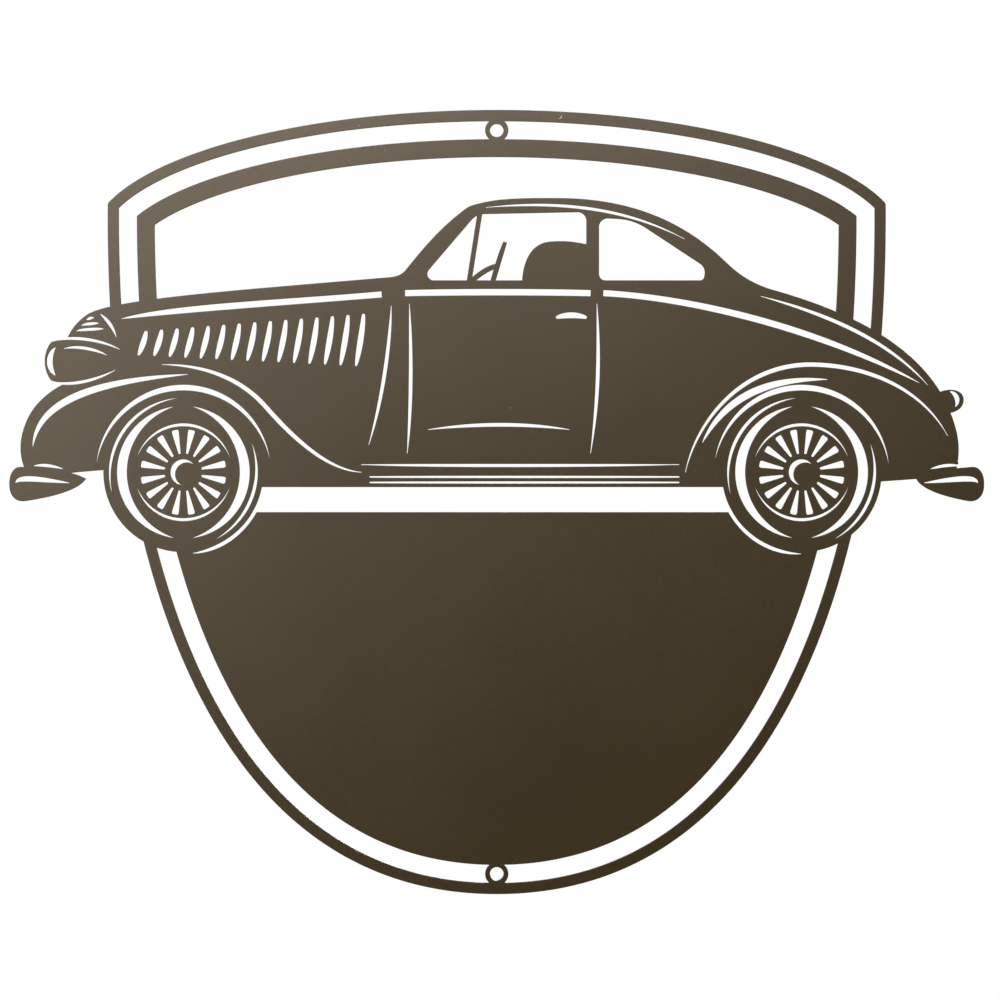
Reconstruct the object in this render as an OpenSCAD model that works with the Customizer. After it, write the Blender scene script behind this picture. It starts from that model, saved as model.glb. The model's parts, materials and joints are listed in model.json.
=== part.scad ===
// Metal wall sign: one sheet cut out as a shield frame, a coupe in side view and a plain lower panel.
// It stands off the wall on two ring spacers and four round pads.
// Millimetres, X to the right, Z up. The wall is the plane Y = 0 and the front faces -Y.
// The origin lies in the wall plane, halfway between the two screw holes.
// All outlines run counter-clockwise, so that joined pieces merge into one face.

/* [Sheet] */
// Thickness of the steel sheet
sheet_t = 1.9; // [1.2:0.1:3]
// Narrowest cut, which is the width of a slot's pointed end
kerf = 0.3; // [0.2:0.05:0.5]

/* [Shield] */
// Width over the shoulders
shield_w = 364.9; // [340:1:390]
// Height from the foot to the crown
shield_h = 367.8; // [345:1:390]
// Height of the shoulder corners above the middle
shoulder_z = 140.1; // [128:1:150]
// Rounding of the shoulder corners
shoulder_r = 2.3; // [1:0.1:5]
// Width of the outer band
outer_band_w = 5.3; // [4:0.1:8]
// Width of the slot between the bands
slot_w = 8.4; // [7:0.1:11]
// Width of the inner band
inner_band_w = 8.4; // [6:0.1:12]
// Height of the lower panel's straight top edge
panel_top_z = -4.7; // [-12:0.5:-1]

/* [Screw holes] */
// Diameter of the screw holes
hole_d = 6.35; // [4:0.05:7]
// Width of the metal rim round each hole
hole_rim = 2.3; // [1.8:0.1:3]

/* [Stand-off] */
// Gap between the wall and the back of the sheet
standoff = 6; // [3:0.5:12]
// Step from the edge of a boss in to the ring spacer behind it
spacer_inset = 0.25; // [0:0.05:0.6]
// Diameter of the round pads
pad_d = 12; // [8:0.5:14]
// Rounding of the pads' wall edge
pad_edge_r = 1.2; // [0.4:0.1:2]

/* [Car] */
// Length over the bumpers
car_l = 457.2; // [450:1:465]
// Height of the roof above the middle of the shield
roof_z = 142.6; // [138:0.5:148]
// Height of the belt stripe at the doors
belt_z = 98; // [95:0.5:100]
// Diameter of the tyres
tyre_d = 75; // [71:0.5:78]
// Height of the axles
axle_z = 14; // [12:0.5:16]
// Distance from the face of the front bumper back to the front axle
front_overhang = 81.6; // [79:0.2:84]
// Distance from the rear axle back to the face of the rear bumper
rear_overhang = 85.6; // [83:0.2:88]
// Distance of the door's front edge ahead of the middle
door_front_l = 44; // [41:0.5:47]
// Distance of the door's back edge behind the middle
door_back_l = 46; // [43:0.5:49]
// Height of the fenders' crowns above the tyres
fender_rise = 13; // [11:0.5:15]
// Height of the running board's underside
board_z = 7; // [5:0.5:9]
// Thickness of the running board
board_t = 7; // [6:0.5:9]

/* [Cut lines] */
// Widest part of an ordinary brush line
line_w = 1.7; // [1.2:0.1:2.2]
// Widest part of a fine line on the trim
fine_w = 1.4; // [1:0.1:1.8]
// Widest part of the seams between the fenders and the body
seam_w = 2; // [1.4:0.1:2.6]
// Widest part of the gleams on the fenders
gleam_w = 3.3; // [2.4:0.1:4]
// Widest part of a louvre
louvre_w = 2.7; // [1.8:0.1:3]
// Width of the running board's grooves
rib_w = 1; // [0.7:0.1:1.2]
// Width of the steering wheel's bars and of the gleams on the bumpers
bar_w = 2.5; // [1.8:0.1:3]
// Width of the belt stripe
stripe_w = 3; // [2:0.1:4]
// Width of the slot between a tyre and its fender
arch_gap = 2.6; // [1.8:0.1:3.2]
// Width of the light slots under the tyres
light_w = 1.7; // [1.2:0.1:2.2]
// Width of the white wall on the tyres
white_wall_w = 4.6; // [3:0.1:5.5]
// Number of louvres in the side of the hood
louvres = 15; // [9:1:17]
// Number of spokes in a wheel
spokes = 16; // [10:1:20]

/* [Hidden] */
$fn = 96;

half_w = shield_w / 2;
half_h = shield_h / 2;
hole_z = half_h - outer_band_w - slot_w / 2;
boss_d = hole_d + 2 * hole_rim;
// Width of the neck that joins the bands behind each boss
neck_w = 4.6;
// Largest distance between a drawn curve and its chords
chord_gap = 0.03;
// Share of the ellipse's half-width that the crown takes in
crown_reach = 0.957;
// Share of the sides and of the foot that runs nearly straight, and how far the sides lean out
side_pull = 0.48;
foot_pull = 0.772;
side_lean = 1.2;

tyre_r = tyre_d / 2;
rim_r = tyre_r - 14;
nose = -car_l / 2;
tail = car_l / 2;
front_wheel = [nose + front_overhang, axle_z];
rear_wheel = [tail - rear_overhang, axle_z];
// Angle below the axle at which a tyre meets the top edge of the lower panel
dip_angle = asin((axle_z - panel_top_z) / tyre_r);
board_top = board_z + board_t;
board_side = board_top - axle_z;
// Height of the fenders' crowns over the axles, and over the middle of the shield
fender_top = tyre_r + fender_rise;
crown_z = axle_z + fender_top;
door_front = -door_front_l;
door_back = door_back_l;
// Thickness of the metal left over the side windows, and under them
roof_frame = 6.6;
sill_rise = 6;
window_top = roof_z - roof_frame;
window_sill = belt_z + sill_rise;
lamp = [nose + 29.6, crown_z + 1.5];
tail_lamp_at = [tail - 15.6, axle_z + 34];
// Where the pads sit: in the solid tips of the fenders, and in the shoulders of the lower panel
nose_pad_at = [nose + 27.1, axle_z + 14];
tail_pad_at = [tail - 31.1, axle_z + 14];
panel_pad_at = [105, -62];
bronze = [0.33, 0.29, 0.23];
rubber = [0.16, 0.16, 0.17];

// Fenders, each drawn from its wheel's centre and run from the board over the crown to the tip
front_fender = [
    [tyre_r + 46, board_side],
    [tyre_r + 30, board_side + 1], [tyre_r + 14, 16], [tyre_r, 32],
    [tyre_r - 13, 46], [6, fender_top], [-10, fender_top],
    [-34, fender_top], [19 - front_overhang, 45], [9 - front_overhang, 26],
    [5 - front_overhang, 18], [4 - front_overhang, 10], [7 - front_overhang, 2]
];
rear_fender = [
    [-tyre_r - 17, board_side],
    [-tyre_r - 12, 24], [-28, fender_top], [4, fender_top],
    [29.5, fender_top], [rear_overhang - 29.5, 40], [rear_overhang - 17.2, 17.2],
    [rear_overhang - 15, 13.2], [rear_overhang - 13.3, 8.8], [rear_overhang - 12, 4]
];
// Upper outline of the body, from the nose over the roof to the tail
body_top = [
    [nose + 27.6, lamp[1] - 11],
    [nose + 23, belt_z - 32], [nose + 24.6, belt_z - 18], [nose + 36.6, belt_z - 10],
    [nose + 48.6, belt_z - 2.5], [door_front - 76, belt_z + 1.5], [door_front - 6, belt_z + 7.5],
    [door_front - 3, belt_z + 7.8], [door_front - 1, belt_z + 8.5], [door_front + 1, belt_z + 10.5],
    [door_front + 9, roof_z - 24], [door_front + 19, roof_z - 12], [door_front + 31, roof_z - 4],
    [door_front + 42, roof_z], [door_front + 54, roof_z], [door_back - 18, roof_z],
    [door_back + 12, roof_z], [door_back + 38, roof_z - 8], [door_back + 60, belt_z + 16],
    [door_back + 67, belt_z + 9], [door_back + 73, belt_z + 5], [door_back + 82, belt_z + 2],
    [tail - 64.6, belt_z - 8], [tail - 29.6, belt_z - 24], [tail - 16.6, axle_z + 30],
    [tail - 11.6, axle_z + 18], [tail - 10.6, axle_z + 10], [tail - 13.6, axle_z - 1]
];

// Point at share t of a cubic curve with control points c
function curve_at(c, t) =
    pow(1 - t, 3) * c[0] + 3 * pow(1 - t, 2) * t * c[1] + 3 * (1 - t) * t * t * c[2] + pow(t, 3) * c[3];
// Its direction there, with length 1
function curve_dir(c, t) = unit(pow(1 - t, 2) * (c[1] - c[0]) + 2 * (1 - t) * t * (c[2] - c[1])
    + t * t * (c[3] - c[2]));
function unit(v) = v / norm(v);
// A vector turned a quarter to the left
function left_of(v) = [-v[1], v[0]];
// Radians between two vectors
function turn_between(u, v) = acos(min(1, unit(u) * unit(v))) * PI / 180;
// Number of chords for a cubic curve, from its turn and length
function chords(c) =
    let (
        legs = [for (i = [0:2]) c[i + 1] - c[i]],
        turn = turn_between(legs[0], legs[1]) + turn_between(legs[1], legs[2]),
        length = norm(legs[0]) + norm(legs[1]) + norm(legs[2])
    )
    max(2, ceil(sqrt(turn * length / (8 * chord_gap))));
// A run of cubic curves is written as knots with two handles between each pair
function cubics(p) = [for (s = [0:3:len(p) - 4]) [p[s], p[s + 1], p[s + 2], p[s + 3]]];
function run(p) = [
    for (c = cubics(p))
        let (count = chords(c))
        for (i = [0:count - 1]) curve_at(c, i / count),
    p[len(p) - 1]
];
// The first k curves of a run
function first_curves(p, k) = [for (i = [0:3 * k]) p[i]];
function reversed(p) = [for (i = [len(p) - 1:-1:0]) p[i]];
function mirrored(p) = [for (i = [len(p) - 1:-1:0]) [-p[i][0], p[i][1]]];
// Width of a brush line at share t: w in the middle, and shares a and b of it at the two ends
function brush_w(w, a, b, t) =
    let (e = a + (b - a) * t)
    max(kerf, w * (e + (1 - e) * pow(sin(180 * t), 0.65)));
// Arc of radius r in place of the corner b, whose sides leave it along u and v
function corner_arc(b, u, v, r) =
    let (
        half = acos(u * v) / 2,
        mid = b + unit(u + v) * r / sin(half),
        from = b + u * r / tan(half) - mid,
        to = b + v * r / tan(half) - mid,
        a0 = atan2(from[1], from[0]),
        turn = atan2(to[1], to[0]) - a0,
        sweep = turn > 180 ? turn - 360 : turn < -180 ? turn + 360 : turn,
        n = ceil(abs(sweep) / (2 * acos(1 - chord_gap / r)))
    )
    [for (k = [0:n]) mid + r * [cos(a0 + sweep * k / n), sin(a0 + sweep * k / n)]];
// Outline from corners [x, z, radius]
function rounded(p) = [
    for (i = [0:len(p) - 1])
        let (
            corner = function (k) [p[k % len(p)][0], p[k % len(p)][1]],
            b = corner(i)
        )
        each corner_arc(b, unit(corner(i + len(p) - 1) - b), unit(corner(i + 1) - b), p[i][2])
];

// Crown: an elliptic arc with half-axes crown_a and crown_b, which starts at crown_t0 in the right shoulder
crown_a = half_w / crown_reach;
crown_b = (half_h - shoulder_z) / (1 - sqrt(1 - crown_reach * crown_reach));
crown_t0 = acos(crown_reach);
crown_steps = 60;
function crown_t(i) = crown_t0 + (180 - 2 * crown_t0) * i / crown_steps;
function crown_at(t) = [crown_a * cos(t), half_h - crown_b + crown_b * sin(t)];
function crown_dir(t) = unit([-crown_a * sin(t), crown_b * cos(t)]);
// Right side: one cubic curve from the foot up to the shoulder
side_curve = [
    [0, -half_h],
    [foot_pull * half_w, -half_h],
    [half_w + side_lean, shoulder_z - side_pull * (shoulder_z + half_h)],
    [half_w, shoulder_z]
];
side_steps = 60;
// The side drawn in by d
function side_points(d) = [
    for (i = [0:side_steps])
        curve_at(side_curve, i / side_steps) + d * left_of(curve_dir(side_curve, i / side_steps))
];

// Brush line along a run of cubic curves, with at least n chords to a side and the shortest ones at the ends
module brush(p, w = line_w, a = 0, b = 0, n = 9) {
    curves = cubics(p);
    last = max(n, ceil(1.5 * len(run(p))));
    share = function (i) (1 - cos(180 * i / last)) / 2;
    c = [
        for (i = [0:last])
            let (
                t = len(curves) * share(i),
                k = min(floor(t), len(curves) - 1)
            )
            curve_at(curves[k], t - k)
    ];
    side = function (k) [
        for (i = [0:last])
            c[i] + k * left_of(unit(c[min(i + 1, last)] - c[max(i - 1, 0)])) * brush_w(w, a, b, share(i)) / 2
    ];
    polygon(concat(side(-1), reversed(side(1))));
}

// Crescent inside a circle of radius r: w wide at the angle mid, and pointed at reach to both sides of it
module crescent(r, w, mid, reach) {
    shift = (r * r - (r - w) * (r - w)) / (2 * (r * cos(reach) - r + w));
    rotate(mid)
        difference() {
            circle(r = r);
            translate([shift, 0])
                circle(r = r - w - shift);
        }
}

// Brush line w wide along an arc of radius r, from the angle a0, where it has share a of w, to the angle a1
module arc_brush(r, w, a0, a1, a = 0) {
    pull = r * 4 / 3 * tan((a1 - a0) / 4);
    at = function (a) r * [cos(a), sin(a)];
    along = function (a) pull * [-sin(a), cos(a)];
    brush([at(a0), at(a0) + along(a0), at(a1) - along(a1), at(a1)], w, a);
}

// Outer edge of the shield, with rounded shoulders
module shield_edge() {
    right = side_points(0);
    shoulder = right[side_steps];
    up = crown_dir(crown_t0);
    down = -curve_dir(side_curve, 1);
    corner = corner_arc(shoulder, down, up, shoulder_r);
    polygon(concat(
        [for (i = [0:side_steps - 1]) right[i]],
        corner,
        [for (i = [1:crown_steps - 1]) crown_at(crown_t(i))],
        mirrored(corner),
        [for (i = [side_steps - 1:-1:1]) [-right[i][0], right[i][1]]]
    ));
}

// Region under the crown drawn in by d
module crown_region(d) {
    flare = 20;
    arc = [for (i = [0:crown_steps]) crown_at(crown_t(i)) + d * left_of(crown_dir(crown_t(i)))];
    out = arc[0] - flare * crown_dir(crown_t0);
    polygon(concat([[-out[0], -shield_h], [out[0], -shield_h], out], arc, [[-out[0], out[1]]]));
}

// Region between the sides drawn in by d
module side_region(d) {
    right = [for (p = side_points(d)) if (p[0] > kerf) p];
    top = right[len(right) - 1] + curve_dir(side_curve, 1) * shield_h;
    polygon(concat([[0, d - half_h]], right, [top, [-top[0], top[1]]], mirrored(right)));
}

// The shield drawn in by d
module shield(d) {
    intersection() {
        crown_region(d);
        side_region(d);
    }
}

// Outer band, inner band, solid panel below panel_top_z and the bosses of the screw holes
module frame_metal() {
    panel_d = outer_band_w + slot_w;
    difference() {
        shield_edge();
        shield(outer_band_w);
    }
    difference() {
        shield(panel_d);
        intersection() {
            shield(panel_d + inner_band_w);
            translate([-half_w, panel_top_z])
                square([shield_w, shield_h]);
        }
    }
    at_holes() {
        circle(d = boss_d);
        square([neck_w, slot_w + 0.6], center = true);
    }
}

module at_holes() {
    for (z = [-hole_z, hole_z])
        translate([0, z])
            children();
}

module at_wheels() {
    for (p = [front_wheel, rear_wheel])
        translate(p)
            children();
}

// Bumper seen from its end: deep and upright at the face x, tapering along the car to x + l
module bumper(x, l) {
    s = sign(l);
    edge = run([
        [x, -6], [x - s * 0.2, -1], [x + s * 2, 3], [x + s * 6, 2.5],
        [x + l * 0.4, 2], [x + l * 0.8, 1], [x + l, -3],
        [x + l * 0.9, -9], [x + l * 0.5, -12], [x + s * 8, -13.5],
        [x + s * 3, -14.5], [x, -11], [x, -6]
    ]);
    translate([0, axle_z])
        polygon(s > 0 ? reversed(edge) : edge);
}

module headlamp() {
    translate(lamp)
        polygon(run([
            [-10, -9], [-2, -12], [14, -8], [26, 2],
            [14, 10], [-2, 12], [-10, 9],
            [-14, 4], [-14, -4], [-10, -9]
        ]));
}

module tail_lamp() {
    translate(tail_lamp_at)
        polygon(run([
            [-9, -5], [-2, -8], [6, -6], [6, 0],
            [6, 5], [-1, 6], [-7, 3],
            [-10, 1], [-12, -3], [-9, -5]
        ]));
}

// Everything of the car that is metal before the lines are cut
module car_metal() {
    polygon(concat(
        reversed(run(body_top)),
        [[front_wheel[0], board_z], [rear_wheel[0], board_z], [tail - 28.6, board_z + 4]]
    ));
    translate([front_wheel[0], board_z])
        square([rear_wheel[0] - front_wheel[0], board_t]);
    translate(front_wheel)
        polygon(concat(
            run(front_fender),
            [[18 - front_overhang, -2], [-tyre_r - 12, 0], [0, 4], [tyre_r + 4, board_side]]
        ));
    translate(rear_wheel)
        polygon(concat(reversed(run(rear_fender)), [[0, 4], [tyre_r + 12, 0], [rear_overhang - 22, -2]]));
    at_wheels()
        circle(r = tyre_r);
    bumper(nose, 36);
    bumper(tail, -32);
    headlamp();
    tail_lamp();
}

// White wall, tread gleam, rim lip, spokes and hub cap of one wheel
module wheel_cuts() {
    white_wall_r = rim_r + 3 + white_wall_w;
    hub_r = 9;
    spoke_l = rim_r - hub_r - 3.4;
    for (side = [0, 180])
        crescent(white_wall_r, white_wall_w, side, 82);
    crescent(tyre_r - 2.6, 1.5, 146, 52);
    crescent(tyre_r - 2.6, 1.5, -20, 44);
    for (side = [90, 270])
        crescent(rim_r - 0.6, 1.3, side, 74);
    for (i = [0:spokes - 1])
        rotate(360 * (i + 0.5) / spokes)
            translate([hub_r, 0])
                polygon([
                    [0, -0.5], [spoke_l - 1, -1.6], [spoke_l, -1], [spoke_l, 1], [spoke_l - 1, 1.6], [0, 0.5]
                ]);
    crescent(6, 2.4, 150, 110);
}

// Louvres, belt stripe, cowl seam and grille of the hood
module hood_cuts() {
    // First and last louvre: place, foot and head
    front_louvre = [nose + 62.6, crown_z + 4.5, belt_z - 18];
    back_louvre = [door_front - 20, belt_z - 34, belt_z - 10];
    for (i = [0:louvres - 1]) {
        m = front_louvre + (back_louvre - front_louvre) * i / (louvres - 1);
        h = m[2] - m[1];
        brush([[m[0] + 1.5, m[2]], [m[0] + 1, m[2] - h / 3], [m[0] - 0.5, m[1] + h / 3], [m[0] - 2, m[1]]],
            louvre_w, 0.5, 0.3, 7);
    }
    brush([
        [nose + 52.6, belt_z - 12], [nose + 78.6, belt_z - 7],
        [door_front - 56, belt_z - 4.5], [door_front - 10, belt_z - 0.6]
    ], stripe_w, 0, 0.95);
    brush([
        [door_front - 5.5, belt_z - 6], [door_front - 6, belt_z - 22],
        [door_front - 9, board_top + 36], [door_front - 16, board_top + 13]
    ]);
    // Edge of the grille shell, and the bars between it and the nose
    brush([
        [nose + 42.6, belt_z - 9.8], [nose + 45.6, belt_z - 12],
        [nose + 48.6, belt_z - 15.5], [nose + 50.1, belt_z - 20.5]
    ], fine_w);
    for (i = [0:2]) {
        z = belt_z - 17 + 2.6 * i;
        from = nose + 31.6 + 2.2 * i;
        to = nose + 44.1 - 2.2 * i;
        brush([[from, z - 0.7], [from + 2, z], [to - 2, z + 0.2], [to, z + 0.3]], fine_w);
    }
}

// Openings and lines of the cab and the doors
module cab_cuts() {
    difference() {
        union() {
            polygon(rounded([
                [door_front + 8, window_sill, 3], [door_back - 4, window_sill, 3],
                [door_back - 4, window_top, 4], [door_front + 34.5, window_top - 1, 8]
            ]));
            polygon(rounded([
                [door_back + 2, window_sill, 3], [door_back + 51, window_sill, 2],
                [door_back + 52, window_sill + 6, 5],
                [door_back + 18, window_top - 3.6, 26], [door_back + 2, window_top - 2.8, 4]
            ]));
        }
        vent_bar();
        seat();
        steering_wheel();
    }
    // Stripe below the windows and along the tail
    brush([
        [door_front + 1, belt_z], [door_front + 24, belt_z + 0.6],
        [door_back - 26, belt_z + 0.6], [door_back - 2, belt_z]
    ], stripe_w, 0.95, 0.95);
    brush([
        [door_back + 4, belt_z], [door_back + 44, belt_z - 2],
        [tail - 78.6, belt_z - 16], [tail - 30.6, belt_z - 42]
    ], stripe_w, 0.95, 0);
    // Gleams on the roof and the tail
    brush([
        [door_front + 39, window_top + 2.2], [door_front + 68, window_top + 5],
        [door_back + 12, window_top + 3.6], [door_back + 42, window_top - 12.6]
    ], fine_w);
    brush([
        [door_back + 78, belt_z - 1.5], [door_back + 104, belt_z - 8.5],
        [tail - 46.6, belt_z - 20], [tail - 26.6, belt_z - 43]
    ]);
    // Door edges and handle
    brush([
        [door_front + 3, belt_z - 5], [door_front + 4, belt_z - 28],
        [door_front + 4, board_top + 31], [door_front + 2, board_top + 9]
    ]);
    brush([
        [door_back + 1, belt_z - 5], [door_back + 2, belt_z - 28],
        [door_back + 2, board_top + 36], [door_back - 2, board_top + 9]
    ]);
    brush([
        [door_back - 18, belt_z - 11.5], [door_back - 14, belt_z - 10],
        [door_back - 8, belt_z - 10], [door_back - 4, belt_z - 11.5]
    ], louvre_w, 0.4, 0.4);
    // Gleam low on the door
    brush([
        [door_front + 12, board_top + 20], [door_front + 34, board_top + 23],
        [door_back - 32, board_top + 23], [door_back - 12, board_top + 20]
    ]);
}

module vent_bar() {
    polygon([
        [door_front + 29, belt_z], [door_front + 31.4, belt_z],
        [door_front + 38.4, roof_z], [door_front + 36, roof_z]
    ]);
}

module seat() {
    polygon(concat([[door_back - 34, belt_z], [door_back, belt_z]], run([
        [door_back, belt_z + 22], [door_back - 8, belt_z + 24],
        [door_back - 14, belt_z + 25], [door_back - 22, belt_z + 24],
        [door_back - 31, belt_z + 23], [door_back - 35, belt_z + 12], [door_back - 34, belt_z + 1]
    ])));
}

module steering_wheel() {
    brush([
        [door_front + 40.5, belt_z], [door_front + 43, belt_z + 8],
        [door_front + 45, belt_z + 16], [door_front + 48, belt_z + 24]
    ], bar_w, 0.9, 0.7);
    brush([
        [door_front + 32, belt_z + 5.5], [door_front + 36, belt_z + 9],
        [door_front + 40, belt_z + 12], [door_front + 45, belt_z + 13]
    ], bar_w, 1, 0.8);
}

// Edge lines, gleams and wheel arches of both fenders
module fender_cuts() {
    arch_r = tyre_r + 0.9 + arch_gap;
    translate(front_wheel) {
        brush(first_curves(front_fender, 2), seam_w);
        brush([
            [11 - front_overhang, 12], [13 - front_overhang, 32],
            [-tyre_r - 8, fender_top - 8], [2, fender_top - 4.6]
        ], gleam_w);
        crescent(arch_r, arch_gap, 92, 84);
    }
    translate(rear_wheel) {
        brush(first_curves(rear_fender, 2), seam_w);
        brush([
            [-tyre_r - 9, 14], [-tyre_r + 1, 34],
            [-18, fender_top - 6], [12, fender_top - 7]
        ], gleam_w);
        crescent(arch_r, arch_gap, 88, 84);
    }
}

// Sill line and ribs of the running board
module board_cuts() {
    front = front_wheel[0] + tyre_r + 46;
    back = rear_wheel[0] - tyre_r - 20;
    sill = board_top + 3;
    rib = 2.2;
    along = function (k, from) from + (back - from) * k;
    brush([
        [front, sill + 0.6], [along(0.2, front), sill], [along(0.7, front), sill], [back, sill + 0.6]
    ], fine_w);
    for (z = [board_z + rib, board_top - rib])
        brush([
            [front + 4, z], [along(0.2, front + 4), z], [along(0.7, front + 4), z], [back, z]
        ], rib_w, 0.6, 0.6);
}

// Lines of the bumpers and lamps
module trim_cuts() {
    for (s = [-1, 1])
        translate([s * car_l / 2, axle_z]) {
            brush([[-s * 11.5, 3], [-s * 15, 3.6], [-s * 20, 3.2], [-s * 25, 1.6]], fine_w);
            brush([[-s * 3, -5], [-s * 4, -2], [-s * 12, -3], [-s * 28, -5]], bar_w);
        }
    translate(lamp) {
        brush([[-8, 6.5], [-11.5, 3], [-11.5, -3], [-8, -6.5]], louvre_w);
        brush([[-13, 8.8], [-2, 12.5], [12, 10.7], [22, 5.7]], fine_w);
        brush([[-12, -9.1], [-2, -12.2], [10, -9.4], [20, -4.1]], fine_w);
        brush([[-4, 6], [2, 7.4], [10, 6], [16, 3]], fine_w);
    }
    translate(tail_lamp_at)
        crescent(4, 2.2, 20, 80);
}

// Angle at which the tyre round p, right of the middle, leaves the lower panel: at its side or its top edge
function leave_angle(p) =
    let (
        side = [for (q = side_points(outer_band_w + slot_w)) q - p],
        met = [for (i = [1:side_steps]) if (norm(side[i]) < tyre_r) i]
    )
    len(met) == 0 ? -dip_angle : met_angle(side[met[0] - 1], side[met[0]]);
// Angle at which the line from u, outside the tyre, to v, inside it, meets its edge
function met_angle(u, v) =
    let (m = u + (v - u) * (norm(u) - tyre_r) / (norm(u) - norm(v)))
    atan2(m[1], m[0]);

// Light slots under the tyres, cut in the lower panel: each opens at its top edge, trims the tyre by bite
// and leaves a land before the panel's side
module tyre_slots() {
    land = 12;
    bite = 0.05;
    r = tyre_r + light_w / 2 - bite;
    for (p = [front_wheel, rear_wheel]) {
        from = dip_angle - 182.5;
        to = leave_angle([abs(p[0]), p[1]]) - land;
        translate(p)
            arc_brush(r, light_w, p[0] > 0 ? from : 180 - from, p[0] > 0 ? to : 180 - to, 1);
    }
}

module plate_outline() {
    difference() {
        union() {
            frame_metal();
            car_metal();
        }
        at_holes()
            circle(d = hole_d);
        hood_cuts();
        cab_cuts();
        fender_cuts();
        board_cuts();
        trim_cuts();
        at_wheels()
            wheel_cuts();
        tyre_slots();
    }
}

module sign_plate() {
    color(bronze)
        translate([0, -standoff, 0])
            rotate([90, 0, 0])
                linear_extrude(sheet_t)
                    plate_outline();
}

// Ring spacer behind one screw hole, between the sheet and the wall
module ring_spacer(z) {
    translate([0, 0, z])
        rotate([90, 0, 0])
            difference() {
                cylinder(d = boss_d - 2 * spacer_inset, h = standoff);
                translate([0, 0, -standoff / 2])
                    cylinder(d = hole_d, h = 2 * standoff);
            }
}

// Round stick-on pad, flat towards the sheet and with a rounded edge towards the wall
module round_pad(p) {
    steps = 6;
    edge = [
        for (i = [0:steps])
            let (a = 90 * i / steps)
            [pad_d / 2 - pad_edge_r + pad_edge_r * sin(a), pad_edge_r - pad_edge_r * cos(a)]
    ];
    translate([p[0], 0, p[1]])
        rotate([90, 0, 0])
            rotate_extrude()
                polygon(concat([[0, 0]], edge, [[pad_d / 2, standoff], [0, standoff]]));
}

module upper_spacer() {
    color(rubber)
        ring_spacer(hole_z);
}

module lower_spacer() {
    color(rubber)
        ring_spacer(-hole_z);
}

module nose_pad() {
    color(rubber)
        round_pad(nose_pad_at);
}

module tail_pad() {
    color(rubber)
        round_pad(tail_pad_at);
}

module left_pad() {
    color(rubber)
        round_pad([-panel_pad_at[0], panel_pad_at[1]]);
}

module right_pad() {
    color(rubber)
        round_pad(panel_pad_at);
}

sign_plate();
upper_spacer();
lower_spacer();
nose_pad();
tail_pad();
left_pad();
right_pad();
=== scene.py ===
"""Looks, light and camera for a cut-out metal wall sign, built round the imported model.

The cut sheet is drawn anew with its coat on, and the ring spacers and stick-on pads behind it are
turned pieces. Metres, X to the right, Z up. The wall is the plane Y = 0 and the front faces -Y.
"""
import json
import math

import bpy
import numpy as np
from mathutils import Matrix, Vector
from mathutils.geometry import delaunay_2d_cdt


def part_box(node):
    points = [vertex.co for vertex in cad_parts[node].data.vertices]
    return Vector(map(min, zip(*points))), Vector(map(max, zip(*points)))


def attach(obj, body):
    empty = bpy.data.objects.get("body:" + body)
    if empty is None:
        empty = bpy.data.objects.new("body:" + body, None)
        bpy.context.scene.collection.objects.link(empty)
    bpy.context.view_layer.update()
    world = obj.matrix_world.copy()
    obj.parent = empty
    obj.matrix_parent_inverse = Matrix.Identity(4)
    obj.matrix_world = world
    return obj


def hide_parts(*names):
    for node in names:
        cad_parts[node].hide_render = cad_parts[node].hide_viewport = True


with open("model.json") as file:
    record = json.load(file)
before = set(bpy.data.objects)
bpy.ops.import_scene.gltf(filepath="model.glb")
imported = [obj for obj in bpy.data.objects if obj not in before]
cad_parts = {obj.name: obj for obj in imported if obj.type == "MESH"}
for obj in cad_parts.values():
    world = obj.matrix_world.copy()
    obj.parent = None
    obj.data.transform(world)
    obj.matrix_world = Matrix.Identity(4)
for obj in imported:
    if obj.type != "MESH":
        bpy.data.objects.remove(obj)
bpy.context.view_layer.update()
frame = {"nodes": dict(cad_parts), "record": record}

MM = 0.001

# Sheet: planes of its front and back, radius of its screw holes, and height of the upper one
PLATE_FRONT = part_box("sign_plate")[0].y
PLATE_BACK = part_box("sign_plate")[1].y
HOLE_RADIUS = frame["record"]["mounts"][0]["dims"]["hole_r_mm"] * MM
UPPER_HOLE = (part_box("upper_spacer")[0].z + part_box("upper_spacer")[1].z) / 2

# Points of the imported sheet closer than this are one
SAME_POINT = 0.0005 * MM
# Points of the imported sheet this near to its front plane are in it
FRONT_LAYER = 0.01 * MM

# A sharper turn of the cut line is a corner
CORNER = math.radians(26)
# Two corners closer than this are the tip of a slot
TIP_WIDTH = 1.5 * MM
# Chords whose lengths differ by less than this ratio are alike
LIKE_LENGTH = 3
# How far a piece of a curve may stray from it, and into how many pieces a chord is cut at most
CURVE_GAP = 0.006 * MM
MOST_CUTS = 12
# Points closer than this, in millimetres, would be merged while the metal is filled in
FILL_MERGE = 1e-6

# How far the coated edge draws in, and how deep it is at the front and at the back
EDGE_INSET = 0.24 * MM
FRONT_ROUND = 0.26 * MM
BACK_ROUND = 0.14 * MM
# Turns of the edge's rings: four from the front round to the wall, three from there to the back
EDGE_TURNS = np.radians([0, 30, 60, 90, 90, 135, 180])
FRONT_RINGS = 4
# Keeps the rings of a sharp corner from reaching too far in
MITRE_LIMIT = 0.8

# Points round the axis of a spacer or pad
SEGMENTS = 72
# Rounding of a spacer's edges and of a pad's free end
RING_EASE = 0.35 * MM
PAD_ROUND = 1.2 * MM
# Share of a pad's radius at which its flat ends begin
PAD_FLAT = 0.45
# Tape of a pad and the groove behind it: distances in from the pad's side and back from the sheet
PAD_TAPE = np.array([(0.3, 0.0), (0.15, 0.1), (0.15, 0.45), (0.4, 0.6), (0.1, 0.75), (0.0, 0.9)]) * MM

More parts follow.
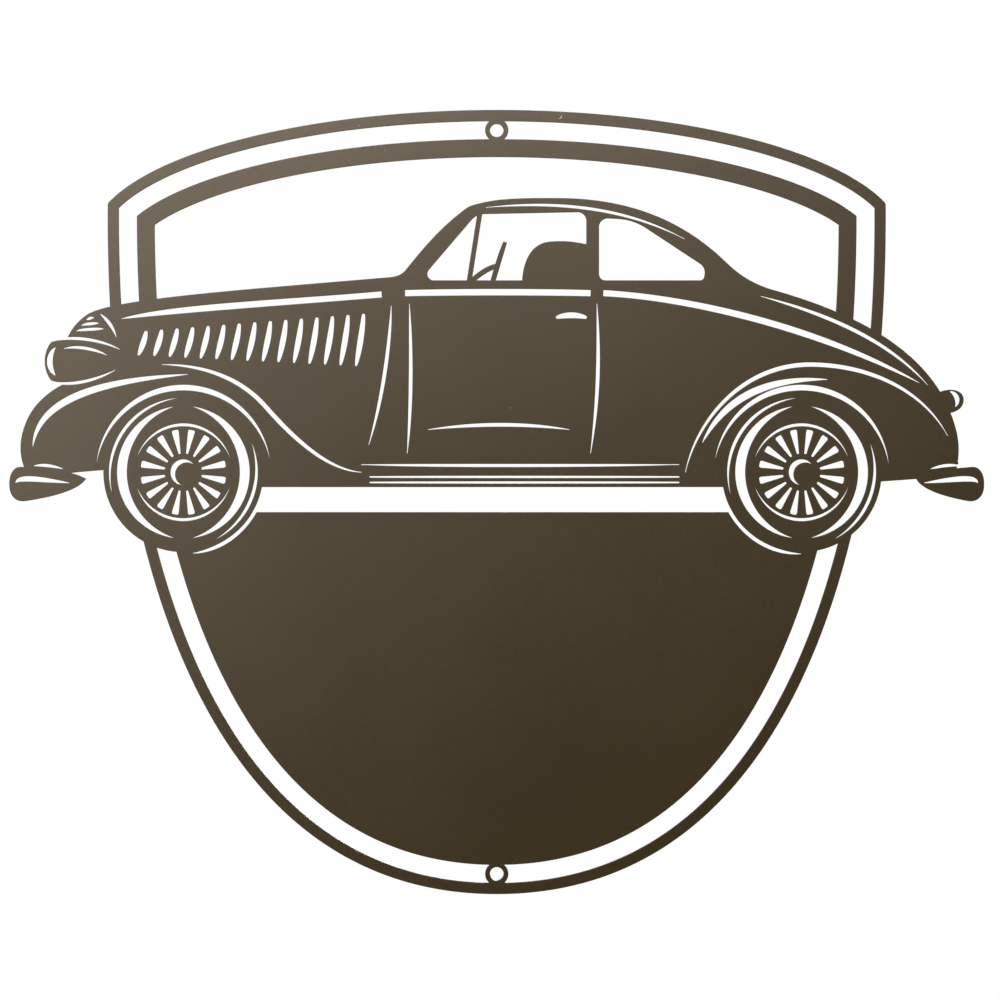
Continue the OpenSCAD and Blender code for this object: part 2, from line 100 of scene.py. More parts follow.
# Bronze coat: its darkest and lightest tone, the thin coat on edges, dust, and the rubbed scuff
BRONZE_DARK = (0.0325, 0.0186, 0.0025)
BRONZE_LIGHT = (0.0365, 0.0210, 0.0031)
THIN_COAT = (0.075, 0.052, 0.027)
PALE_DUST = (0.16, 0.145, 0.12)
RUBBED = (0.56, 0.54, 0.5)

# Scuff: part of a circle on the outer band, right of the upper hole
SCUFF_CENTRE = (28.55 * MM, PLATE_FRONT, UPPER_HOLE + 7.1 * MM)
SCUFF_RADIUS = 1.95 * MM
# Its middle, how far it reaches from there, half its width there, and how softly its sides end
SCUFF_MIDDLE = (30.15 * MM, PLATE_FRONT, UPPER_HOLE + 5.98 * MM)
SCUFF_REACH = 1.7 * MM
SCUFF_HALF_WIDTH = 0.2 * MM
SCUFF_FADE = 0.12 * MM

# Studio: the even room light, and the white of the background
ROOM_COLOUR = (1.0, 0.985, 0.96, 1.0)
ROOM_LIGHT = 0.004
WHITE = (1.0, 1.0, 1.0, 1.0)

# Floor: its colour, half its width, its height, and the ring over which it fades to white
FLOOR_COLOUR = (0.86, 0.86, 0.86, 1.0)
FLOOR_HALF = 1.6
FLOOR_LEVEL = -0.9
FADE_START = 0.7
FADE_END = 1.5

# Camera: a square view from the front, as wide as VIEW_WIDTH in the plane of the sheet's front
CAMERA_DISTANCE = 3.2
VIEW_WIDTH = 0.46892
VIEW_CENTRE = (0.001524, 0.000961)
SENSOR_WIDTH = 36.0


# Outlines of the cut sheet

def front_triangles(mesh):
    """Points of the sheet as (x, z), merged where they meet, and the triangles in its front plane."""
    places = np.empty(len(mesh.vertices) * 3)
    mesh.vertices.foreach_get("co", places)
    places = places.reshape(-1, 3)
    corners = np.empty(len(mesh.polygons) * 3, int)
    mesh.polygons.foreach_get("vertices", corners)
    _, first, merged = np.unique(np.round(places / SAME_POINT).astype(int), axis=0,
                                 return_index=True, return_inverse=True)
    point = places[first]
    triangle = merged.ravel()[corners.reshape(-1, 3)]
    in_front = (point[triangle, 1] < PLATE_FRONT + FRONT_LAYER).all(axis=1)
    return point[:, (0, 2)], triangle[in_front]


def outline_order(follow):
    """Order that walks each outline from its lowest-numbered point, and that number for each point.

    follow gives the point after each point. The steps from a point to the lowest-numbered one of its
    outline give its place; they are counted by following the outline in jumps that double in length.
    """
    here = np.arange(len(follow))
    doublings = int(math.log2(len(follow))) + 1
    leader, jump = here, follow
    for _ in range(doublings):
        leader = np.minimum(leader, leader[jump])
        jump = jump[jump]
    leads = leader == here
    steps = np.where(leads, 0, 1)
    jump = np.where(leads, here, follow)
    for _ in range(doublings):
        steps = steps + steps[jump]
        jump = jump[jump]
    order = np.lexsort((np.where(leads, -len(follow), -steps), leader))
    return order, leader[order]


def front_outlines(mesh):
    """Closed outlines of the sheet's front, as points in order with the outline that each is on.

    An edge that only one front triangle uses is on an outline, and runs with the metal on its left.
    """
    point, triangle = front_triangles(mesh)
    edge = np.concatenate([triangle[:, (0, 1)], triangle[:, (1, 2)], triangle[:, (2, 0)]])
    forth = edge[:, 0] * len(point) + edge[:, 1]
    back = edge[:, 1] * len(point) + edge[:, 0]
    used, edge = np.unique(edge[~np.isin(forth, back)], return_inverse=True)
    edge = edge.reshape(-1, 2)
    follow = np.empty(len(used), int)
    follow[edge[:, 0]] = edge[:, 1]
    order, outline = outline_order(follow)
    return point[used][order], outline


def neighbours(outline):
    """Indices of the next and of the previous point round each outline, for points kept in order."""
    index = np.arange(len(outline))
    starts = np.flatnonzero(np.r_[True, outline[1:] != outline[:-1]])
    ends = np.r_[starts[1:], len(outline)] - 1
    following, previous = index + 1, index - 1
    following[ends] = starts
    previous[starts] = ends
    return following, previous


def unit(v):
    """Each vector divided by its length."""
    return v / np.linalg.norm(v, axis=1, keepdims=True)


def quarter_left(v):
    """Vectors in the sheet's plane turned a quarter to the left."""
    return np.stack([-v[:, 1], v[:, 0]], axis=1)


def swung(v, angle):
    """Vectors turned to the left by their angles: cos times the vector plus sin times its quarter turn."""
    return v * np.cos(angle)[:, None] + quarter_left(v) * np.sin(angle)[:, None]


def turn_angle(u, v):
    """Signed angle from the vectors u to v, from their cross and dot products."""
    return np.arctan2(u[:, 0] * v[:, 1] - u[:, 1] * v[:, 0], (u * v).sum(axis=1))


def end_angles(along, length, following, previous):
    """Angles from each chord to the cut line's direction at the chord's start and at its end.

    At a gentle turn the direction is that of the circle through the point and its two neighbours,
    and at a corner the angle at the chord's other end is mirrored. Where the two angles don't bend the
    chord one way, it stays straight. The short chord round the tip of a slot takes the directions of
    the chords beside it, or half the turn where two such chords meet.
    """
    turn = turn_angle(along[previous], along)
    before = length[previous]
    gentle = (abs(turn) < CORNER) & (length < LIKE_LENGTH * before) & (before < LIKE_LENGTH * length)
    tangent = unit(along[previous] * length[:, None] + along * before[:, None])
    start = np.where(gentle, turn_angle(along, tangent), np.nan)
    end = np.where(gentle[following], turn_angle(along, tangent[following]), np.nan)
    start, end = np.where(np.isnan(start), -end, start), np.where(np.isnan(end), -start, end)
    bent = ~np.isnan(start) & (start * end < 0)
    tip = (turn < -CORNER) & (turn[following] < -CORNER) & (length < TIP_WIDTH)
    tip_start = -turn * np.where(tip[previous], 0.5, 1.0)
    tip_end = turn[following] * np.where(tip[following], 0.5, 1.0)
    start = np.where(tip, tip_start, np.where(bent, start, 0.0))
    end = np.where(tip, tip_end, np.where(bent, end, 0.0))
    return start, end


def smooth_outlines(plane, outline):
    """Puts more points on the chords of curves, and rounds the tips of slots as the torch does.

    A chord from p to q becomes the cubic that leaves p and arrives at q in the directions of its end
    angles, as fast as the chord is long. It bows out by its length times the larger angle over 4, and
    is cut into as many even parts as the square root of bow over gap says.
    """
    following, previous = neighbours(outline)
    chord = plane[following] - plane
    length = np.linalg.norm(chord, axis=1)
    start, end = end_angles(unit(chord), length, following, previous)
    bow = length * np.maximum(abs(start), abs(end)) / 4
    cuts = np.clip(np.ceil(np.sqrt(bow / CURVE_GAP)), 1, MOST_CUTS).astype(int)
    owner = np.repeat(np.arange(len(plane)), cuts)
    rank = np.arange(len(owner)) - np.repeat(np.cumsum(cuts) - cuts, cuts)
    t = (rank / cuts[owner])[:, None]
    leave = swung(chord, start)
    arrive = swung(chord, end)
    curve = (plane[owner] * (1 + 2 * t) * (1 - t) ** 2 + plane[following][owner] * t * t * (3 - 2 * t)
             + leave[owner] * t * (1 - t) ** 2 - arrive[owner] * t * t * (1 - t))
    return curve, outline[owner]


def inside_metal(query, plane, following, block=400):
    """True for the points from which a ray to the right crosses the outlines an odd number of times.

    The points are tested a block at a time, which keeps the table of points by chords small.
    """
    low, high = plane, plane[following]
    slope = (high[:, 0] - low[:, 0]) / np.where(high[:, 1] == low[:, 1], 1.0, high[:, 1] - low[:, 1])
    result = np.empty(len(query), bool)
    for at in range(0, len(query), block):
        x, z = query[at:at + block, 0, None], query[at:at + block, 1, None]
        spans = (low[:, 1] > z) != (high[:, 1] > z)
        result[at:at + block] = (spans & (low[:, 0] + (z - low[:, 1]) * slope > x)).sum(axis=1) % 2 == 1
    return result


def metal_triangles(plane, following):
    """Triangles of the metal between the outlines.

    They come from a constrained Delaunay triangulation of all that the outermost points enclose, and
    those whose middle isn't inside the metal are dropped.
    """
    edges = np.stack([np.arange(len(plane)), following], axis=1).tolist()
    placed, _, faces, source, _, _ = delaunay_2d_cdt((plane / MM).tolist(), edges, [], 0, FILL_MERGE)
    if len(placed) != len(plane):
        raise ValueError("the outlines cross or touch")
    triangle = np.array(source).ravel()[np.array(faces)]
    return triangle[inside_metal(plane[triangle].mean(axis=1), plane, following)]


# Pieces

def between_rows(rows, after, closed=False):
    """Four-sided faces between rows of points, and from the last row to the first where closed.

    after gives each point's next one in its row.
    """
    count = len(after)
    here = np.arange(count)
    row = np.arange(rows if closed else rows - 1)[:, None] * count
    lower = (row + count) % (rows * count)
    return np.stack([row + here, lower + here, lower + after, row + after], axis=2).reshape(-1, 4)


def add_piece(name, points, faces, node, material):
    """Smooth mesh object from points and faces, riding on the body in place of a CAD node."""
    mesh = bpy.data.meshes.new(name)
    mesh.from_pydata(points.tolist(), [], faces)
    mesh.polygons.foreach_set("use_smooth", np.full(len(mesh.polygons), True))
    mesh.materials.append(material)
    piece = bpy.data.objects.new(name, mesh)
    bpy.context.scene.collection.objects.link(piece)
    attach(piece, "root")
    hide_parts(node)
    return piece


def mark_rings(piece, label, share):
    """Keeps a share for each ring of the sheet's edge as a named attribute of its points."""
    mask = piece.data.attributes.new(label, "FLOAT", "POINT")
    mask.data.foreach_set("value", np.repeat(share, len(mask.data) // len(share)).astype(np.float32))


def ring_normals(outward):
    """Normals on every ring: sin of its turn times outward, and cos of its turn forward."""
    normal = np.empty((len(EDGE_TURNS), len(outward), 3))
    normal[..., (0, 2)] = outward * np.sin(EDGE_TURNS)[:, None, None]
    normal[..., 1] = -np.cos(EDGE_TURNS)[:, None]
    return normal


def sheet_normals(along, following, previous, triangles):
    """Normals of the face corners: the flat front, the flat back, and the walls between the rings.

    Where an outline has a corner, each side keeps its own outward direction, which is a quarter turn
    to the right of its course. Elsewhere the two sides share the mean of theirs.
    """
    outward = -quarter_left(along)
    shared = unit(outward[previous] + outward)
    sharp = abs(turn_angle(along[previous], along))[:, None] > CORNER
    start = ring_normals(np.where(sharp, outward, shared))
    end = ring_normals(np.where(sharp[following], outward, shared[following]))
    walls = np.stack([start[:-1], start[1:], end[1:], end[:-1]], axis=2).reshape(-1, 3)
    front = np.tile([0.0, -1.0, 0.0], (triangles * 3, 1))
    back = np.tile([0.0, 1.0, 0.0], (triangles * 3, 1))
    return np.concatenate([front, back, walls])


def coated_sheet(material):
    """The cut sheet, with its coat drawn softly over every edge.

    Each outline carries seven rings, at the turns a. A ring lies EDGE_INSET * (1 - sin a) inside the
    outline. The first four are FRONT_ROUND * (1 - cos a) behind the front and the last three
    BACK_ROUND * (1 + cos a) before the back, with the straight wall between the two at 90 degrees.
    A point draws in along the sum of its two sides' inward directions over half the sum's square.
    """
    plane, outline = smooth_outlines(*front_outlines(frame["nodes"]["sign_plate"].data))
    following, previous = neighbours(outline)
    along = unit(plane[following] - plane)
    both = quarter_left(along[previous]) + quarter_left(along)
    mitre = both / np.maximum((both * both).sum(axis=1, keepdims=True) / 2, MITRE_LIMIT)
    rings = len(EDGE_TURNS)
    points = np.empty((rings, len(plane), 3))
    points[..., (0, 2)] = plane + mitre * (EDGE_INSET * (1 - np.sin(EDGE_TURNS)))[:, None, None]
    points[..., 1] = np.where(np.arange(rings) < FRONT_RINGS,
                              PLATE_FRONT + FRONT_ROUND * (1 - np.cos(EDGE_TURNS)),
                              PLATE_BACK - BACK_ROUND * (1 + np.cos(EDGE_TURNS)))[:, None]
    front = metal_triangles(points[0][:, (0, 2)], following)
    back = front[:, ::-1] + (rings - 1) * len(plane)
    faces = front.tolist() + back.tolist() + between_rows(rings, following).tolist()
    piece = add_piece("coated_sheet", points.reshape(-1, 3), faces, "sign_plate", material)
    # The coat thins on the rounded edges, and the torch left its marks on the cut wall
    mark_rings(piece, "edge", abs(np.sin(2 * EDGE_TURNS)))
    mark_rings(piece, "wall", np.sin(EDGE_TURNS) ** 2)
    # Set normals keep the front flat right up to the rings, so that only these catch the light
    piece.data.normals_split_custom_set(sheet_normals(along, following, previous, len(front)).tolist())


def round_corner(radius, depth, size, first, steps=5):
    """Profile points of a quarter turn of the given size round (radius, depth), from the angle first."""
    a = np.radians(first + 90 * np.arange(steps + 1) / steps)
    return np.stack([radius + size * np.cos(a), depth + size * np.sin(a)], axis=1)


def turned_piece(name, node, material, profile, closed=False):
    """A piece turned about an axis along Y through the middle of a CAD node.

    The profile gives (radius, depth) from the sheet's side to the wall's side, and round through the
    bore where it is closed. A point is the middle plus radius * (cos, sin) of an even share of a turn.
    """
    low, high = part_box(node)
    radius, depth = profile.T
    turn = 2 * math.pi * np.arange(SEGMENTS) / SEGMENTS
    points = np.empty((len(profile), SEGMENTS, 3))
    points[..., 0] = (low.x + high.x) / 2 + radius[:, None] * np.cos(turn)
    points[..., 1] = depth[:, None]
    points[..., 2] = (low.z + high.z) / 2 + radius[:, None] * np.sin(turn)
    here = np.arange(SEGMENTS)
    faces = between_rows(len(profile), (here + 1) % SEGMENTS, closed).tolist()
    if not closed:
        faces += [here.tolist(), (here + (len(profile) - 1) * SEGMENTS)[::-1].tolist()]
    add_piece(name, points.reshape(-1, 3), faces, node, material)


def ring_spacer(node, material):
    """A moulded ring with four eased edges, bored like the sheet's screw hole."""
    low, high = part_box(node)
    outer = (high.x - low.x) / 2 - RING_EASE
    bore = HOLE_RADIUS + RING_EASE
    near, far = low.y + RING_EASE, high.y - RING_EASE
    profile = np.concatenate([
        round_corner(outer, near, RING_EASE, 270),
        round_corner(outer, far, RING_EASE, 0),
        round_corner(bore, far, RING_EASE, 90),
        round_corner(bore, near, RING_EASE, 180),
    ])
    turned_piece(node + "_ring", node, material, profile, closed=True)


def stick_on_pad(node, material):
    """A round rubber pad with tape on the sheet's side, a groove behind the tape, and a rounded end."""
    low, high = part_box(node)
    side = (high.x - low.x) / 2
    profile = np.concatenate([
        [(PAD_FLAT * side, low.y)],
        np.array([side, low.y]) + PAD_TAPE * [-1, 1],
        round_corner(side - PAD_ROUND, high.y - PAD_ROUND, PAD_ROUND, 0, steps=8),
        [(PAD_FLAT * side, high.y)],
    ])
    turned_piece(node + "_bumper", node, material, profile)


# Materials

def node_group(name, inputs, outputs):
    """An empty shader node group, whose inputs and outputs are given as names with their kinds."""
    group = bpy.data.node_groups.new(name, "ShaderNodeTree")
    for label, kind in inputs.items():
        group.interface.new_socket(label, in_out="INPUT", socket_type=kind)
    for label, kind in outputs.items():
        group.interface.new_socket(label, in_out="OUTPUT", socket_type=kind)
    return group, group.nodes.new("NodeGroupInput"), group.nodes.new("NodeGroupOutput")


def add(tree, kind, values=None, **settings):
    """A node with its properties set from the keywords, and its inputs, by name or number, from values."""
    made = tree.nodes.new(kind)
    for label, value in settings.items():
        setattr(made, label, value)
    for label, value in (values or {}).items():
        made.inputs[label].default_value = value
    return made


def surface_grain():
    """Group: the grain of a moulded or sprayed surface, as a bumped normal and two masks.

    The height is noise at the grain scale, which is also the mask Grain, plus the fine share of noise
    at five times that scale. Patches is noise at the patch scale, stretched about its middle to run
    from 0 to 1. Scales are per metre, and the depth is in metres.
    """
    number, vector = "NodeSocketFloat", "NodeSocketVector"
    group, given, result = node_group(
        "surface_grain",
        {"Vector": vector, "Grain scale": number, "Fine share": number,
         "Patch scale": number, "Depth": number},
        {"Normal": vector, "Patches": number, "Grain": number})
    link = group.links.new
    grain = add(group, "ShaderNodeTexNoise", values={"Detail": 2.0, "Roughness": 0.5})
    finer = add(group, "ShaderNodeMath", operation="MULTIPLY", values={1: 5.0})
    fine = add(group, "ShaderNodeTexNoise", values={"Detail": 1.0, "Roughness": 0.5})
    height = add(group, "ShaderNodeMath", operation="MULTIPLY_ADD")
    bump = add(group, "ShaderNodeBump", values={"Strength": 1.0})
    patch = add(group, "ShaderNodeTexNoise", values={"Detail": 4.0, "Roughness": 0.55})
    spread = add(group, "ShaderNodeMapRange", values={"From Min": 0.32, "From Max": 0.68})
    link(given.outputs["Vector"], grain.inputs["Vector"])
    link(given.outputs["Vector"], fine.inputs["Vector"])
    link(given.outputs["Vector"], patch.inputs["Vector"])
    link(given.outputs["Grain scale"], grain.inputs["Scale"])
    link(given.outputs["Grain scale"], finer.inputs[0])
    link(finer.outputs[0], fine.inputs["Scale"])
    link(given.outputs["Patch scale"], patch.inputs["Scale"])
    link(fine.outputs["Fac"], height.inputs[0])
    link(given.outputs["Fine share"], height.inputs[1])
    link(grain.outputs["Fac"], height.inputs[2])
    link(height.outputs[0], bump.inputs["Height"])
    link(given.outputs["Depth"], bump.inputs["Distance"])
    link(patch.outputs["Fac"], spread.inputs["Value"])
    link(bump.outputs["Normal"], result.inputs["Normal"])
    link(spread.outputs["Result"], result.inputs["Patches"])
    link(grain.outputs["Fac"], result.inputs["Grain"])
    return group


def new_material(name):
    """A material with only an output and a Principled shader, and the piece's own coordinates."""
    material = bpy.data.materials.new(name)
    material.use_nodes = True
    tree = material.node_tree
    tree.nodes.clear()
    output = tree.nodes.new("ShaderNodeOutputMaterial")
    shader = tree.nodes.new("ShaderNodeBsdfPrincipled")
    place = tree.nodes.new("ShaderNodeTexCoord").outputs["Object"]
    tree.links.new(shader.outputs["BSDF"], output.inputs["Surface"])
    return material, tree, shader, place


def mix_colour(tree, factor, a, b):
    """A colour that goes from a to b with the factor; a is a colour or an output, b a colour.

    The colours of a Mix node are its inputs 6 and 7 and its output 2.
    """
    made = add(tree, "ShaderNodeMix", data_type="RGBA")
    tree.links.new(factor, made.inputs["Factor"])
    if isinstance(a, bpy.types.NodeSocket):
        tree.links.new(a, made.inputs[6])
    else:
        made.inputs[6].default_value = (*a, 1.0)
    made.inputs[7].default_value = (*b, 1.0)
    return made.outputs[2]


def sprayed_tone(tree, skin):
    """Bronze that drifts slowly from dark to light, with the fine mottle of sprayed powder on top.

    The mix is the patches of the grain group plus six times its grain less a half.
    """
    mottle = add(tree, "ShaderNodeMapRange", clamp=False,
                 values={"From Min": 0.4, "From Max": 0.6, "To Min": -0.6, "To Max": 0.6})
    drift = add(tree, "ShaderNodeMath", operation="ADD")
    tree.links.new(skin.outputs["Grain"], mottle.inputs["Value"])
    tree.links.new(skin.outputs["Patches"], drift.inputs[0])
    tree.links.new(mottle.outputs["Result"], drift.inputs[1])
    return mix_colour(tree, drift.outputs[0], BRONZE_DARK, BRONZE_LIGHT)


def thin_edges(tree, place):
    """Mask of the rounded edges, in stretches of 10 to 20 mm where the coat is thin."""
    edge = add(tree, "ShaderNodeAttribute", attribute_name="edge")
    stretch = add(tree, "ShaderNodeTexNoise", values={"Scale": 60.0, "Detail": 3.0})
    thin = add(tree, "ShaderNodeMapRange", values={"From Min": 0.42, "From Max": 0.66})
    both = add(tree, "ShaderNodeMath", operation="MULTIPLY")
    tree.links.new(place, stretch.inputs["Vector"])
    tree.links.new(stretch.outputs["Fac"], thin.inputs["Value"])
    tree.links.new(thin.outputs["Result"], both.inputs[0])
    tree.links.new(edge.outputs["Fac"], both.inputs[1])
    return both.outputs[0]


def dust_specks(tree, place):
    """Mask of dust in the coat: specks of up to 0.7 mm, where the coat meets the point of a cell.

    The cells are about 20 mm apart, and only the few whose point lies in the coat show a speck.
    """
    cells = add(tree, "ShaderNodeTexVoronoi", values={"Scale": 52.0, "Randomness": 1.0})
    speck = add(tree, "ShaderNodeMapRange",
                values={"From Min": 0.011, "From Max": 0.019, "To Min": 1.0, "To Max": 0.0})
    tree.links.new(place, cells.inputs["Vector"])
    tree.links.new(cells.outputs["Distance"], speck.inputs["Value"])
    return speck.outputs["Result"]


def scuff_mark(tree, place):
    """Mask of a short arc that tapers from its middle to both ends.

    It is where the distance from the circle is less than a width, which falls from the half width at
    the arc's middle to nothing at the reach.
    """
    out = add(tree, "ShaderNodeVectorMath", operation="DISTANCE", values={1: SCUFF_CENTRE})
    off = add(tree, "ShaderNodeMath", operation="SUBTRACT", values={1: SCUFF_RADIUS})
    away = add(tree, "ShaderNodeMath", operation="ABSOLUTE")
    along = add(tree, "ShaderNodeVectorMath", operation="DISTANCE", values={1: SCUFF_MIDDLE})
    width = add(tree, "ShaderNodeMapRange",
                values={"From Max": SCUFF_REACH, "To Min": SCUFF_HALF_WIDTH, "To Max": 0.0})
    spare = add(tree, "ShaderNodeMath", operation="SUBTRACT")
    mask = add(tree, "ShaderNodeMapRange", values={"From Max": SCUFF_FADE})
    tree.links.new(place, out.inputs[0])
    tree.links.new(place, along.inputs[0])
    tree.links.new(out.outputs["Value"], off.inputs[0])
    tree.links.new(off.outputs[0], away.inputs[0])
    tree.links.new(along.outputs["Value"], width.inputs["Value"])
    tree.links.new(width.outputs["Result"], spare.inputs[0])
    tree.links.new(away.outputs[0], spare.inputs[1])
    tree.links.new(spare.outputs[0], mask.inputs["Value"])
    return mask.outputs["Result"]


def torch_marks(tree, place, wall, skin):
    """Normal of the coat, with fine ridges on the cut wall, about 0.4 mm apart.

    Their noise is drawn out nine times along Y, so that they run from the front to the back.
    """
    drawn = add(tree, "ShaderNodeMapping", vector_type="TEXTURE", values={"Scale": (1.0, 9.0, 1.0)})
    ridges = add(tree, "ShaderNodeTexNoise", values={"Scale": 2600.0, "Detail": 1.0})
    height = add(tree, "ShaderNodeMath", operation="MULTIPLY")
    bump = add(tree, "ShaderNodeBump", values={"Strength": 1.0, "Distance": 0.025 * MM})
    tree.links.new(place, drawn.inputs["Vector"])
    tree.links.new(drawn.outputs["Vector"], ridges.inputs["Vector"])
    tree.links.new(ridges.outputs["Fac"], height.inputs[0])
    tree.links.new(wall, height.inputs[1])
    tree.links.new(height.outputs[0], bump.inputs["Height"])
    tree.links.new(skin.outputs["Normal"], bump.inputs["Normal"])
    return bump.outputs["Normal"]


def bronze_coat(grain):
    """Satin bronze powder coat, with orange peel, mottle, thin edges, dust, a scuff and torch marks.

    The peel has grains of 1.4 mm and finer ones of 0.3 mm, and tone and gloss drift over 110 mm. The
    roughness follows the drift from 0.294 to 0.314, and is 0.2 more on the cut wall.
    """
    material, tree, shader, place = new_material("bronze_coat")
    link = tree.links.new
    skin = add(tree, "ShaderNodeGroup", node_tree=grain,
               values={"Grain scale": 700.0, "Fine share": 1.2, "Patch scale": 9.0, "Depth": 0.01 * MM})
    link(place, skin.inputs["Vector"])
    tone = mix_colour(tree, thin_edges(tree, place), sprayed_tone(tree, skin), THIN_COAT)
    tone = mix_colour(tree, dust_specks(tree, place), tone, PALE_DUST)
    tone = mix_colour(tree, scuff_mark(tree, place), tone, RUBBED)
    link(tone, shader.inputs["Base Color"])
    satin = add(tree, "ShaderNodeMapRange", values={"To Min": 0.294, "To Max": 0.314})
    wall = add(tree, "ShaderNodeAttribute", attribute_name="wall").outputs["Fac"]
    matt = add(tree, "ShaderNodeMath", operation="MULTIPLY_ADD", values={1: 0.2})
    link(skin.outputs["Patches"], satin.inputs["Value"])
    link(wall, matt.inputs[0])
    link(satin.outputs["Result"], matt.inputs[2])
    link(matt.outputs[0], shader.inputs["Roughness"])
    link(torch_marks(tree, place, wall, skin), shader.inputs["Normal"])
    shader.inputs["Metallic"].default_value = 0.327
    return material


def moulded(name, grain, dark, light, rough, scale, depth):
    """Moulded plastic or rubber: a fine matt grain, and a tone that drifts a little from dark to light.

    The roughness goes with the grain from a little under rough to a little over it.
    """
    material, tree, shader, place = new_material(name)
    link = tree.links.new
    skin = add(tree, "ShaderNodeGroup", node_tree=grain,
               values={"Grain scale": scale, "Fine share": 0.35, "Patch scale": 160.0, "Depth": depth})
    link(place, skin.inputs["Vector"])
    link(mix_colour(tree, skin.outputs["Patches"], dark, light), shader.inputs["Base Color"])
    vary = add(tree, "ShaderNodeMapRange", values={"To Min": rough - 0.05, "To Max": rough + 0.06})
    link(skin.outputs["Grain"], vary.inputs["Value"])
    link(vary.outputs["Result"], shader.inputs["Roughness"])
    link(skin.outputs["Normal"], shader.inputs["Normal"])
    return material


# Studio

def seen_directly(tree, glossy=None):
    """1 for camera and transmission rays, and the output glossy, or else 1, for glossy rays."""
    path = tree.nodes.new("ShaderNodeLightPath")
    first = add(tree, "ShaderNodeMath", operation="MAXIMUM")
    second = add(tree, "ShaderNodeMath", operation="MAXIMUM")
    shiny = add(tree, "ShaderNodeMath", operation="MULTIPLY", values={1: 1.0})
    if glossy is not None:
        tree.links.new(glossy, shiny.inputs[1])
    tree.links.new(path.outputs["Is Glossy Ray"], shiny.inputs[0])
    tree.links.new(path.outputs["Is Camera Ray"], first.inputs[0])
    tree.links.new(path.outputs["Is Transmission Ray"], first.inputs[1])
    tree.links.new(first.outputs[0], second.inputs[0])
    tree.links.new(shiny.outputs[0], second.inputs[1])
    return second.outputs[0]


def studio_world():
    """White background for the camera; dim, even room light on the object.

    A glossy ray that goes on behind the sign sees the white background, and one that comes back
    towards the camera's side sees the dim room.
    """
    world = bpy.data.worlds.new("studio")
    bpy.context.scene.world = world
    world.use_nodes = True
    tree = world.node_tree
    tree.nodes.clear()
    link = tree.links.new
    output = tree.nodes.new("ShaderNodeOutputWorld")
    place = tree.nodes.new("ShaderNodeTexCoord")
    axes = tree.nodes.new("ShaderNodeSeparateXYZ")
    behind = add(tree, "ShaderNodeMapRange", values={"From Min": -0.1, "From Max": 0.25})
    room = add(tree, "ShaderNodeBackground", values={"Color": ROOM_COLOUR, "Strength": ROOM_LIGHT})
    white = add(tree, "ShaderNodeBackground", values={"Color": WHITE, "Strength": 1.0})
    mix = tree.nodes.new("ShaderNodeMixShader")
    link(place.outputs["Generated"], axes.inputs["Vector"])
    link(axes.outputs["Y"], behind.inputs["Value"])
    link(seen_directly(tree, behind.outputs["Result"]), mix.inputs[0])
    link(room.outputs[0], mix.inputs[1])
    link(white.outputs[0], mix.inputs[2])
    link(mix.outputs[0], output.inputs["Surface"])


def soft_box(name, place, width, height, power):
    """A rectangular soft white light of power watts, facing the middle between the screw holes."""
    middle = Vector((0.0, 0.0, 0.0))
    light = bpy.data.lights.new(name, "AREA")
    light.shape = "RECTANGLE"
    light.size = width
    light.size_y = height
    light.energy = power
    lamp = bpy.data.objects.new(name, light)
    lamp.location = place
    lamp.rotation_euler = (middle - Vector(place)).to_track_quat("-Z", "Y").to_euler()
    lamp.visible_camera = False
    bpy.context.scene.collection.objects.link(lamp)


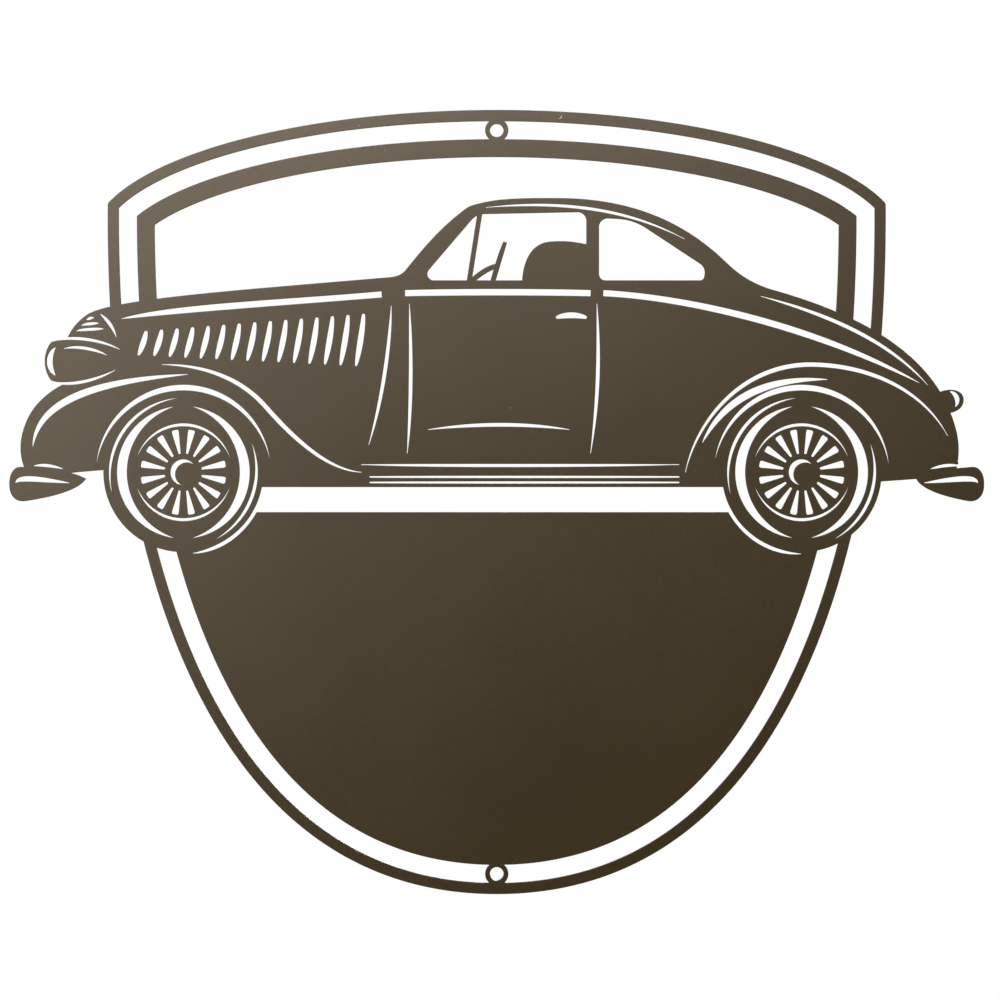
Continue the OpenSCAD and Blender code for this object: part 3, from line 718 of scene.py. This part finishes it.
def studio_floor():
    """Pale floor under the sign, out of the photograph's frame; it keeps the sign's shadow.

    It is seen half white under the sign, and fades to the white background all round.
    """
    mesh = bpy.data.meshes.new("floor")
    half, level = FLOOR_HALF, FLOOR_LEVEL
    corners = [(-half, -half, level), (half, -half, level), (half, half, level), (-half, half, level)]
    mesh.from_pydata(corners, [], [(0, 1, 2, 3)])
    material, tree, shader, place = new_material("floor")
    link = tree.links.new
    shader.inputs["Base Color"].default_value = FLOOR_COLOUR
    shader.inputs["Roughness"].default_value = 0.9
    away = add(tree, "ShaderNodeVectorMath", operation="DISTANCE", values={1: (0.0, 0.0, level)})
    fade = add(tree, "ShaderNodeMapRange",
               values={"From Min": FADE_START, "From Max": FADE_END, "To Min": 0.5, "To Max": 1.0})
    white = add(tree, "ShaderNodeEmission", values={"Color": WHITE, "Strength": 1.0})
    mix = tree.nodes.new("ShaderNodeMixShader")
    share = add(tree, "ShaderNodeMath", operation="MULTIPLY")
    link(place, away.inputs[0])
    link(away.outputs["Value"], fade.inputs["Value"])
    link(fade.outputs["Result"], share.inputs[0])
    link(seen_directly(tree), share.inputs[1])
    link(share.outputs[0], mix.inputs[0])
    link(shader.outputs["BSDF"], mix.inputs[1])
    link(white.outputs[0], mix.inputs[2])
    link(mix.outputs[0], tree.nodes["Material Output"].inputs["Surface"])
    mesh.materials.append(material)
    floor = bpy.data.objects.new("floor", mesh)
    bpy.context.scene.collection.objects.link(floor)


def camera():
    """Square front view: the lens is as long as the sensor's width times distance over view width."""
    data = bpy.data.cameras.new("camera")
    data.sensor_width = SENSOR_WIDTH
    data.lens = SENSOR_WIDTH * CAMERA_DISTANCE / VIEW_WIDTH
    made = bpy.data.objects.new("camera", data)
    made.location = (VIEW_CENTRE[0], PLATE_FRONT - CAMERA_DISTANCE, VIEW_CENTRE[1])
    made.rotation_euler = (math.pi / 2, 0.0, 0.0)
    bpy.context.scene.collection.objects.link(made)
    bpy.context.scene.camera = made


# The sign

grain = surface_grain()
coated_sheet(bronze_coat(grain))

spacer_plastic = moulded("spacer_plastic", grain, dark=(0.020, 0.020, 0.021), light=(0.026, 0.026, 0.027),
                         rough=0.42, scale=2600.0, depth=0.01 * MM)
for node in ("upper_spacer", "lower_spacer"):
    ring_spacer(node, spacer_plastic)

pad_rubber = moulded("pad_rubber", grain, dark=(0.016, 0.016, 0.017), light=(0.024, 0.024, 0.025),
                     rough=0.68, scale=3400.0, depth=0.02 * MM)
for node in ("nose_pad", "tail_pad", "left_pad", "right_pad"):
    stick_on_pad(node, pad_rubber)

# The studio: two lamps light the front, and three the back and the sides

studio_world()
# Place, width and height in metres, and power in watts
soft_box("key", (-0.181, -1.932, 0.808), 0.866, 0.452, 43.2)
soft_box("fill", (-0.366, -1.167, 0.098), 0.25, 0.49, 1.86)
soft_box("back", (0.6, 1.92, 0.665), 1.26, 0.4, 40.0)
soft_box("right", (2.0, 0.0, 0.3), 1.2, 1.2, 26.0)
soft_box("left", (-2.0, 0.0, 0.3), 1.2, 1.2, 20.0)
studio_floor()
camera()

bpy.context.scene.view_settings.view_transform = "Standard"
